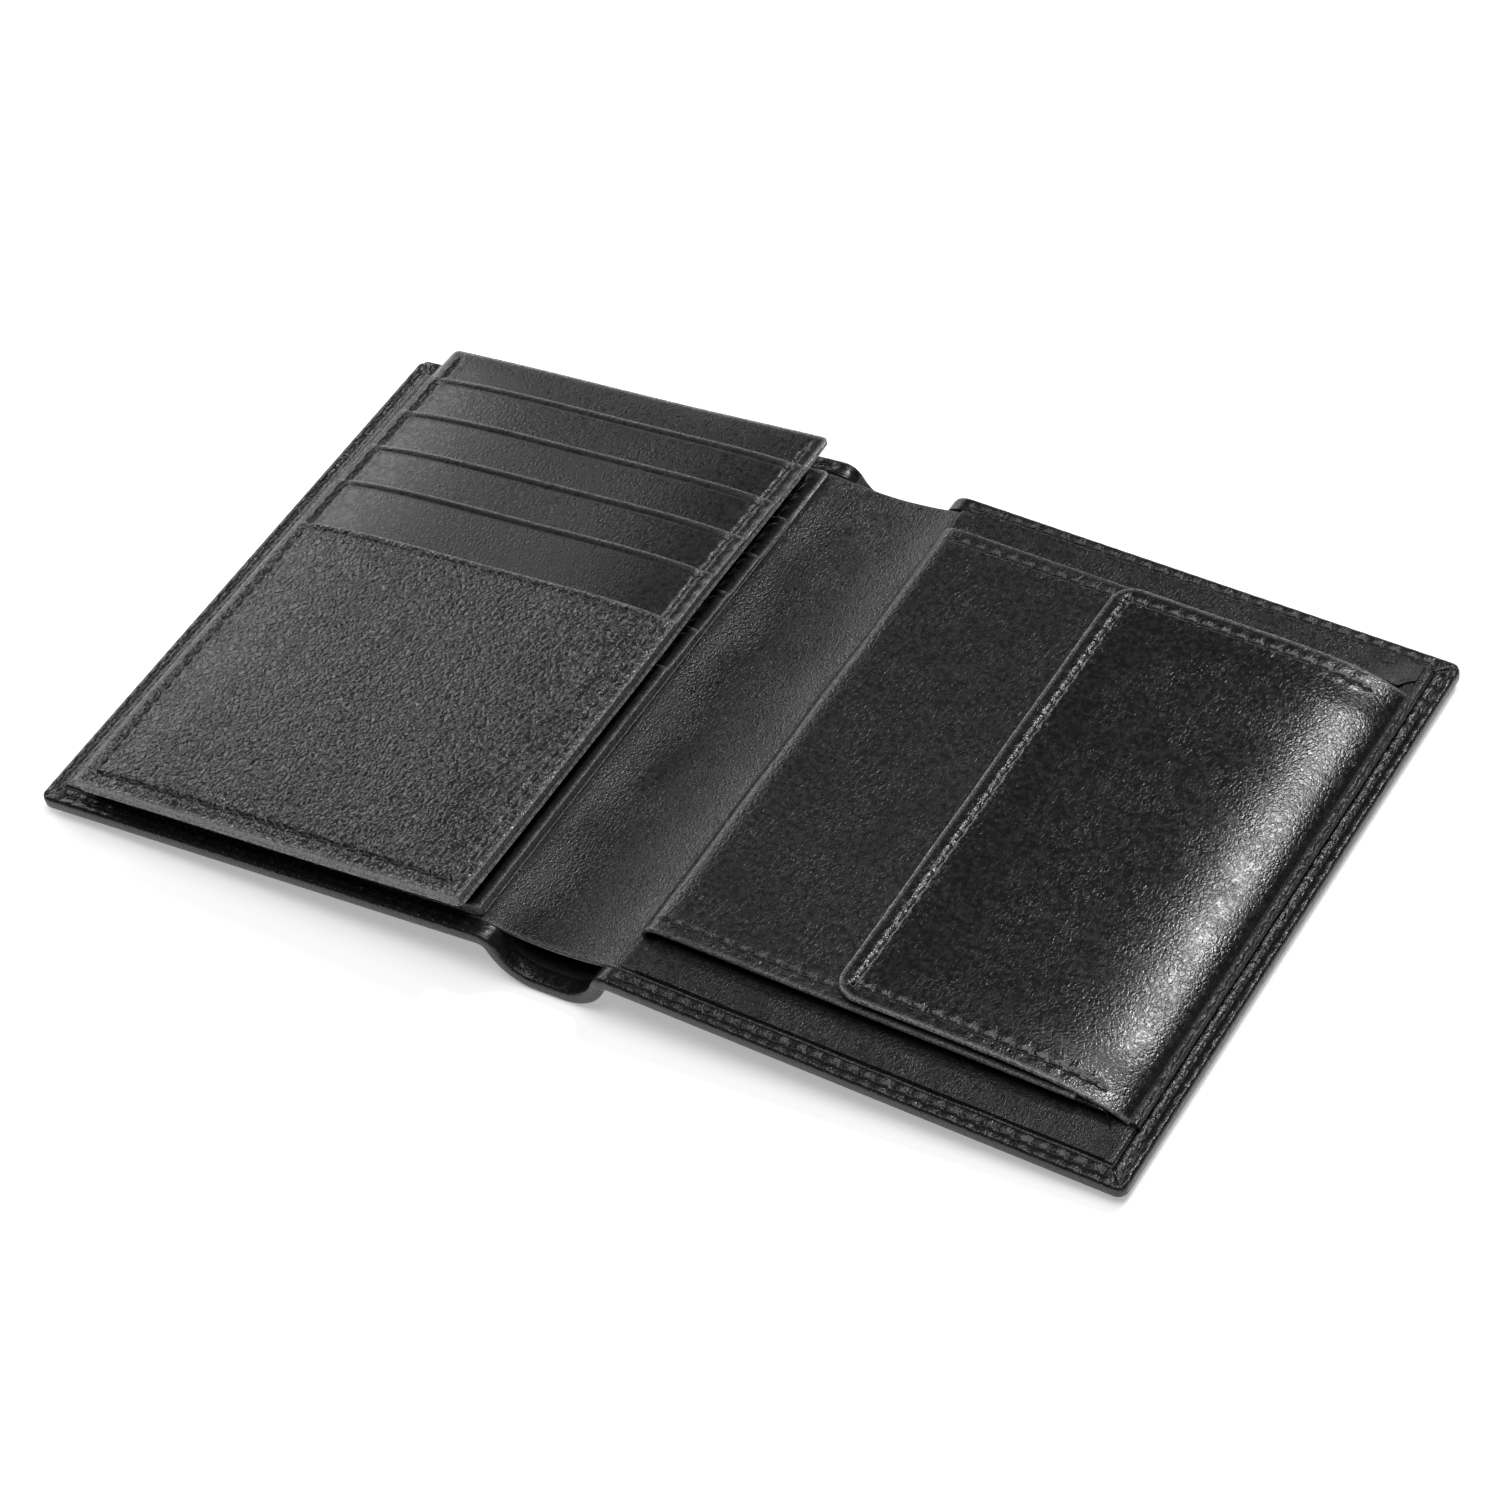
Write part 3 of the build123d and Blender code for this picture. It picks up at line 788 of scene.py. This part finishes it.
def slot_stack(prefix, panel, body, node_prefix, base_node, seams_x, wave, finishes, front):
    """Base and stepped slots of a card stack, with the stitches down its sides.

    seams_x are the places of its side seams. front adds the seams across its two ends.
    """
    x0, x1, y0, y1, low, base_top = panel.box(base_node)
    base = panel_sheet(f"{prefix}_base_sheet", panel.place, (x0, x1, y0, y1), low, base_top,
                       wave=wave, corner=panel_corner,
                       seams=[Seam("y", x, y0 + panel_seam, y1 - panel_seam) for x in seams_x])
    settle(base, finishes[0], body, base_node)
    numbers = range(1, slot_count + 1)
    boxes = [panel.box(f"{node_prefix}_{k}") for k in numbers]
    tops = [base_top] + [box[5] for box in boxes]
    edges = [y1] + [box[3] for box in boxes] + [y0]
    rows = []
    for k in numbers:
        last = k == slot_count
        near = edges[k + 1] - (0.0 if last else slot_tuck)
        box = (x0, x1, near, edges[k])
        seams = [Seam("y", x, near + (panel_seam if last else 0), edges[k]) for x in seams_x]
        if last and front:
            seams.append(Seam("x", y0 + panel_seam, x0 + panel_seam, x1 - panel_seam))
        slot_sheet(f"{prefix}_slot_{k}", panel.place, box, (base_top, tops[k - 1], tops[k]),
                   seams, wave, finishes[k], body, f"{node_prefix}_{k}")
        for seam in seams:
            short = seam.stop - (lip_clear if seam.runs == "y" else 0)
            trimmed = seam._replace(stop=short)
            rows.append((trimmed, lambda x, y, top=tops[k]: top + wave(x, y), 1))
    top_seams = [Seam("y", x, edges[1], y1 - panel_seam) for x in seams_x]
    if front:
        top_seams.append(Seam("x", y1 - panel_seam, x0 + panel_seam, x1 - panel_seam))
    rows += [(seam, lambda x, y: base_top + wave(x, y), 1) for seam in top_seams]
    sewn = stitches(f"{prefix}_stitches", rows, panel.place)
    settle(sewn, thread, body, node_prefix.replace("card_slot", "thread" if front else "card_thread"))


slot_finishes = [cut_edge_highlighted, slot_veined, slot_smooth, slot_veined, slot_smooth]
slot_stack("cover_card", left, "left_cover", "left_card_slot", "left_card_base",
           [left.box("left_card_base")[1] - stack_seam], flat, slot_finishes + [slot_smooth], False)
leaf_width = leaf.box("leaf_card_base")[1]
leaf_crown = 2.0               # how far the full card slots lift the middle of the leaf
leaf_uneven = ripple(60, 0.2, 61)


def leaf_wave(x, y):
    """The leaf's swell over its cards."""
    across, along = 2 * x / leaf_width - 1, y / leaf.box("leaf_card_base")[3]
    return leaf_uneven(x, y) + leaf_crown * (1 - across ** 4) * (1 - along ** 6)


slot_stack("leaf", leaf, "card_leaf", "leaf_card_slot", "leaf_card_base",
           [panel_seam, leaf_width - panel_seam], leaf_wave, slot_finishes + [pebbled], True)


def leaf_back():
    """Plain leather on the leaf's underside."""
    box = leaf.box("leaf_back")
    obj = panel_sheet("leaf_back_sheet", leaf.place, box[:4], *box[4:], corner=panel_corner,
                      wave=leaf_wave)
    settle(obj, cut_edge_highlighted, "card_leaf", "leaf_back")


strip_thick = 0.6
strip_foot, strip_end = 4.2, 5.4  # where the strip leaves the divider and reaches the leaf


def leaf_strip():
    """Soft strip that carries the leaf: flat on the divider, then up to the leaf."""
    box = left.box("leaf_hinge")
    foot, top = box[0], box[5] - strip_thick
    points = [(foot, box[4]), (foot + strip_foot, box[4]), (foot + strip_end, top), (box[1], top)]
    fold = PanelFold(left, points, soften=0.5)
    obj = panel_sheet("leaf_hinge_strip", fold.place, (0, fold.length, box[2], box[3]), 0.0,
                      strip_thick, spacing=0.6)
    bend = ("left_cover", "card_leaf", left.point(foot + 3.8, box[4] + 0.5),
            left.point(foot + 5.6, top))
    settle(obj, supple, bend, "leaf_hinge")


leaf_back()
leaf_strip()


# ------------------------------------------------------------------------- coin pocket
back_x0, back_x1, back_y0, back_y1, back_low, back_top = right.box("coin_back")
front_box = right.box("coin_front")
front_half = front_box[3]
front_top = front_box[5]
front_low = right.box("coin_front_lining")[5]
flap_box = right.box("flap_outer")
flap_top = flap_box[5]
flap_skin_low = flap_box[4]
flap_cloth_low = right.box("flap_lining")[4]
ridge_box = right.box("flap_hinge")
pocket_wave = ripple(45, 0.16, 71)
shoulder = 4.0                 # the pocket front rounds over this far into its folded edge
shoulder_drop = 0.7            # how far it comes down over that


def coin_back():
    """Back of the pocket, sewn to the right cover."""
    obj = panel_sheet("coin_back_sheet", right.place, (back_x0, back_x1, back_y0, back_y1),
                      back_low, back_top, relief=ripple(20, 0.05, 73))
    settle(obj, creased, "right_cover", "coin_back")


def flat_cloth(name, node, body, inset=0.0):
    """Lining on a flat part of the pocket, cut back by inset at its left edge."""
    box = right.box(node)
    box[0] += inset
    obj = panel_sheet(name, right.place, box[:4], box[4], box[5], spacing=coarse_cell)
    settle(obj, lining, body, node)


def coin_front():
    """Front of the pocket, folded down at its left edge on to the back."""
    thick = front_top - front_low
    fold_x = back_x0 + thick
    points = [(fold_x, back_top + 0.05), (fold_x, front_low - shoulder_drop),
              (fold_x + shoulder, front_low), (front_box[1] - 5, front_low)]
    fold = PanelFold(right, points, soften=1.3)
    rise = front_low - back_top
    seam_start = rise + 1.5
    seams = [Seam("x", y, seam_start, flap_box[0] + 3)
             for y in (-front_half + panel_seam, front_half - panel_seam)]
    obj = panel_sheet("coin_front_sheet", fold.place, (0, fold.length, -front_half, front_half),
                      0.0, thick, relief=pocket_wave, seams=seams)
    bend = ("right_cover", "coin_pocket_front", right.point(back_x0, front_low),
            right.point(6.0, front_low))
    settle(obj, pocket_skin, bend, "coin_front", "coin_fold")
    sewn = stitches("coin_front_stitches", [(seam, lambda x, y: thick + pocket_wave(x, y), 1)
                                            for seam in seams], fold.place)
    settle(sewn, thread, "coin_pocket_front", "coin_front_thread")


coin_back()
coin_front()
flat_cloth("coin_floor_cloth", "coin_lining", "right_cover")
flat_cloth("coin_front_cloth", "coin_front_lining", "coin_pocket_front", shoulder)


gusset_run = 26.0              # width of the leather that each gusset is folded from
gusset_thick = 0.5
gusset_gap = 0.15              # air between a gusset and the pocket's front
gusset_crease = 50.0           # place of the inward fold, from the pocket's middle line
gusset_opening = 11.0          # how far the fold moves out where the pocket is sewn open


def gusset(toward):
    """Inward fold between the pocket's back and front, opening out at the right end."""
    name = "far" if toward > 0 else "near"
    base_y, tip_y = back_y1, front_half - 0.5
    x0, x1 = front_box[0] + shoulder / 2, ridge_box[0] + 0.6
    low, high = back_top + gusset_thick / 2, front_low - gusset_thick / 2 - gusset_gap

    def centre_line(u, v):
        """Middle of the leather, v along it from the base, round the fold, to the front."""
        open_out = smooth(u, x1 - 16, x1) ** 2
        crease = gusset_crease + gusset_opening * open_out
        radius = (high - low) / 2
        down, back = base_y - crease, tip_y - crease
        total = down + pi * radius + back
        run = v / gusset_run * total
        turn = np.clip((run - down) / radius, 0, pi)
        y = np.where(run < down, base_y - run,
                     np.where(run > down + pi * radius, crease + run - down - pi * radius,
                              crease - radius * np.sin(turn)))
        h = low + radius * (1 - np.cos(turn))
        return y, h, turn

    def place(u, v, side):
        y, h, turn = centre_line(u, v)
        return right.place(u, toward * (y - side * np.sin(turn)), h + side * np.cos(turn))

    def shape(u, v):
        zero = 0 * u
        return u, v, zero - gusset_thick / 2, zero + gusset_thick / 2, zero + 2

    obj = closed_sheet(f"gusset_{name}", lines(x0, x1, 1.2, 0.2),
                       np.linspace(0, gusset_run, 60), shape, place)
    bend = ("right_cover", "coin_pocket_front", right.point(50, low), right.point(50, high))
    settle(obj, creased, bend, f"coin_gusset_{name}")


for toward in (-1, 1):
    gusset(toward)


# --------------------------------------------------------------------------------- flap
flap_bend = 76.0               # where the flap starts to round down, on the right cover
flap_seam = 3.4                # seam to the flap's edge
flap_crown = 0.35              # how far the flap swells up between its seams
flap_corner = 5.0              # corner radius of the flap's free end
cloth_inset = 0.6              # edge of the flap's lining, inside the leather's edge
cloth_gap = 0.02


def flap_line():
    """Top face of the flap: flat over the pocket, rounding down to its sewn right end."""
    end_x = ridge_box[0] + 1.4
    foot = back_top + 0.3
    drop = flap_top - foot
    points = [(flap_box[0], flap_top)]
    for t in 1 - np.linspace(1, 0, 60) ** 2:
        x = flap_bend + (end_x - flap_bend) * t
        points.append((x, foot + drop * (1 - t ** 2.6) ** (1 / 1.5)))
    return points


def flap():
    """The flap's leather and lining, rounded down to its sewn end, and its seam."""
    fold = PanelFold(right, flap_line(), soften=0.6)
    half = flap_box[3]
    seam_y = half - flap_seam
    seams = [Seam("x", y, flap_seam, fold.length - 8) for y in (-half + flap_seam, seam_y)]
    seams.append(Seam("y", flap_seam, -half + flap_seam, seam_y))
    bend = ("right_cover", "coin_flap", right.point(ridge_box[0] + 1.0, flap_top / 2),
            right.point(ridge_box[0] - 4.0, flap_top / 2))
    box = (0.0, fold.length, -half, half)

    def swell(x, y):
        """The flap stands up between its seams, most of all near its sewn end."""
        padded = smooth(x, flap_seam, flap_seam + 9) * smooth(seam_y - abs(y), 0, 9)
        return pocket_wave(x + flap_box[0], y) + flap_crown * padded * (1 + 0.6 * smooth(x, 36, 52))

    skin = panel_sheet("flap_skin", fold.place, box, flap_skin_low - flap_top, 0.0,
                       corner=flap_corner, corner_sides=(-1,), wave=swell, seams=seams, roll=0.35)
    settle(skin, flap_skin, bend, "flap_outer")
    box = (cloth_inset, fold.length - 1, -half + cloth_inset, half - cloth_inset)
    cloth_sheet = panel_sheet("flap_cloth", fold.place, box, flap_cloth_low - flap_top,
                              flap_skin_low - flap_top - cloth_gap, corner=4.4,
                              corner_sides=(-1,), wave=swell, spacing=coarse_cell)
    settle(cloth_sheet, lining, bend, "flap_lining")
    sewn = stitches("flap_stitches", [(seam, swell, 1) for seam in seams], fold.place)
    settle(sewn, thread, "coin_flap", "flap_thread")


flap()
ridge_height = 0.9


def ridge():
    """Stitched ridge that the flap's end is sewn down to."""
    x0, x1 = ridge_box[0] + 0.9, ridge_box[1] + 0.8
    width = x1 - x0
    uneven = ripple(3.0, 0.08, 83)

    def arch(x, y):
        across = (x - x0 - width / 2) / (width / 2)
        return ridge_height * np.sqrt(np.clip(1 - across ** 2, 0, 1)) + uneven(x, y)

    seam = Seam("y", (x0 + x1) / 2, -ridge_box[3] + 2, ridge_box[3] - 2)
    obj = panel_sheet("flap_ridge", right.place, (x0, x1, -ridge_box[3], ridge_box[3]), back_top,
                      back_top + 0.5, relief=arch, seams=[seam], spacing=0.45, roll=0.2)
    settle(obj, creased, "right_cover", "flap_hinge")


ridge()

for node in ("snap_stud", "snap_socket"):
    materials = frame["nodes"][node].data.materials
    materials.clear()
    materials.append(metal.material)


# -------------------------------------------------------------- floor, lights and camera
def floor():
    """Round pale floor, sizes in metres."""
    size = 6.0
    mesh = bpy.data.meshes.new("floor")
    turns = np.linspace(0, 2 * pi, 48, endpoint=False)
    ring = [(size * cos(turn), size * sin(turn), 0.0) for turn in turns]
    mesh.from_pydata(ring, [], [list(range(len(ring)))])
    obj = bpy.data.objects.new("floor", mesh)
    bpy.context.collection.objects.link(obj)
    shader = Shader("pale_floor")
    spot = shader.add("TexCoord", output="Object")
    tint = shader.mix(shader.noise(spot, 3.0), (0.86, 0.86, 0.86, 1), (0.9, 0.9, 0.9, 1))
    shader.output(tint, 0.9, (0, 0, 0), Specular_IOR_Level=0.1, Emission_Color=(1, 1, 1, 1),
                  Emission_Strength=0.4)
    mesh.materials.append(shader.material)


def softbox(name, azimuth, elevation, distance, width, height, power):
    """Area light that faces the wallet. azimuth 0 is in front; angles are in degrees.

    distance, width and height are in metres, and power is in watts.
    """
    around, up = radians(azimuth), radians(elevation)
    back = Vector((sin(around) * cos(up), -cos(around) * cos(up), sin(up)))
    data = bpy.data.lights.new(name, "AREA")
    data.shape = "RECTANGLE"
    data.size, data.size_y = width, height
    data.energy = power
    obj = bpy.data.objects.new(name, data)
    obj.location = back * distance
    obj.rotation_mode = "QUATERNION"
    obj.rotation_quaternion = back.to_track_quat("Z", "Y")
    obj.visible_camera = False
    bpy.context.collection.objects.link(obj)


def camera():
    """Camera at the viewing angle that was solved from the wallet's corners in the photograph."""
    azimuth, elevation, roll = radians(40.34), radians(45.21), radians(-12.87)
    aim = Vector((7.42, -5.86, 8.0)) * METRES
    distance = 0.8864
    back = Vector((sin(azimuth) * cos(elevation), -cos(azimuth) * cos(elevation), sin(elevation)))
    data = bpy.data.cameras.new("camera")
    data.sensor_width = 36
    data.lens = 109.655
    data.clip_start, data.clip_end = 0.05, 20
    obj = bpy.data.objects.new("camera", data)
    turn = back.to_track_quat("Z", "Y").to_matrix() @ Matrix.Rotation(roll, 3, "Z")
    obj.matrix_world = Matrix.Translation(aim + back * distance) @ turn.to_4x4()
    bpy.context.collection.objects.link(obj)
    bpy.context.scene.camera = obj


def daylight():
    """Soft light from the horizon, fading towards the sky's middle."""
    world = bpy.data.worlds.new("studio")
    world.use_nodes = True
    tree = world.node_tree
    spot = tree.nodes.new("ShaderNodeTexCoord")
    height = tree.nodes.new("ShaderNodeSeparateXYZ")
    fade = tree.nodes.new("ShaderNodeMapRange")
    fade.interpolation_type = "SMOOTHSTEP"
    for key, value in (("From Min", 0.1), ("From Max", 0.42), ("To Min", 0.8), ("To Max", 0.06)):
        fade.inputs[key].default_value = value
    tree.links.new(spot.outputs["Generated"], height.inputs[0])
    tree.links.new(height.outputs["Z"], fade.inputs["Value"])
    tree.links.new(fade.outputs[0], tree.nodes["Background"].inputs["Strength"])
    bpy.context.scene.world = world


floor()
camera()
daylight()
softbox("back_left", azimuth=246, elevation=25, distance=1.6, width=1.0, height=0.6, power=8)
softbox("back_top", azimuth=159, elevation=55, distance=1.6, width=0.36, height=0.2, power=11)
softbox("back_low", azimuth=205, elevation=10, distance=1.8, width=1.6, height=0.3, power=3)
softbox("overhead", azimuth=60, elevation=84, distance=2.0, width=1.5, height=1.5, power=28)
bpy.context.scene.view_settings.view_transform = "Standard"
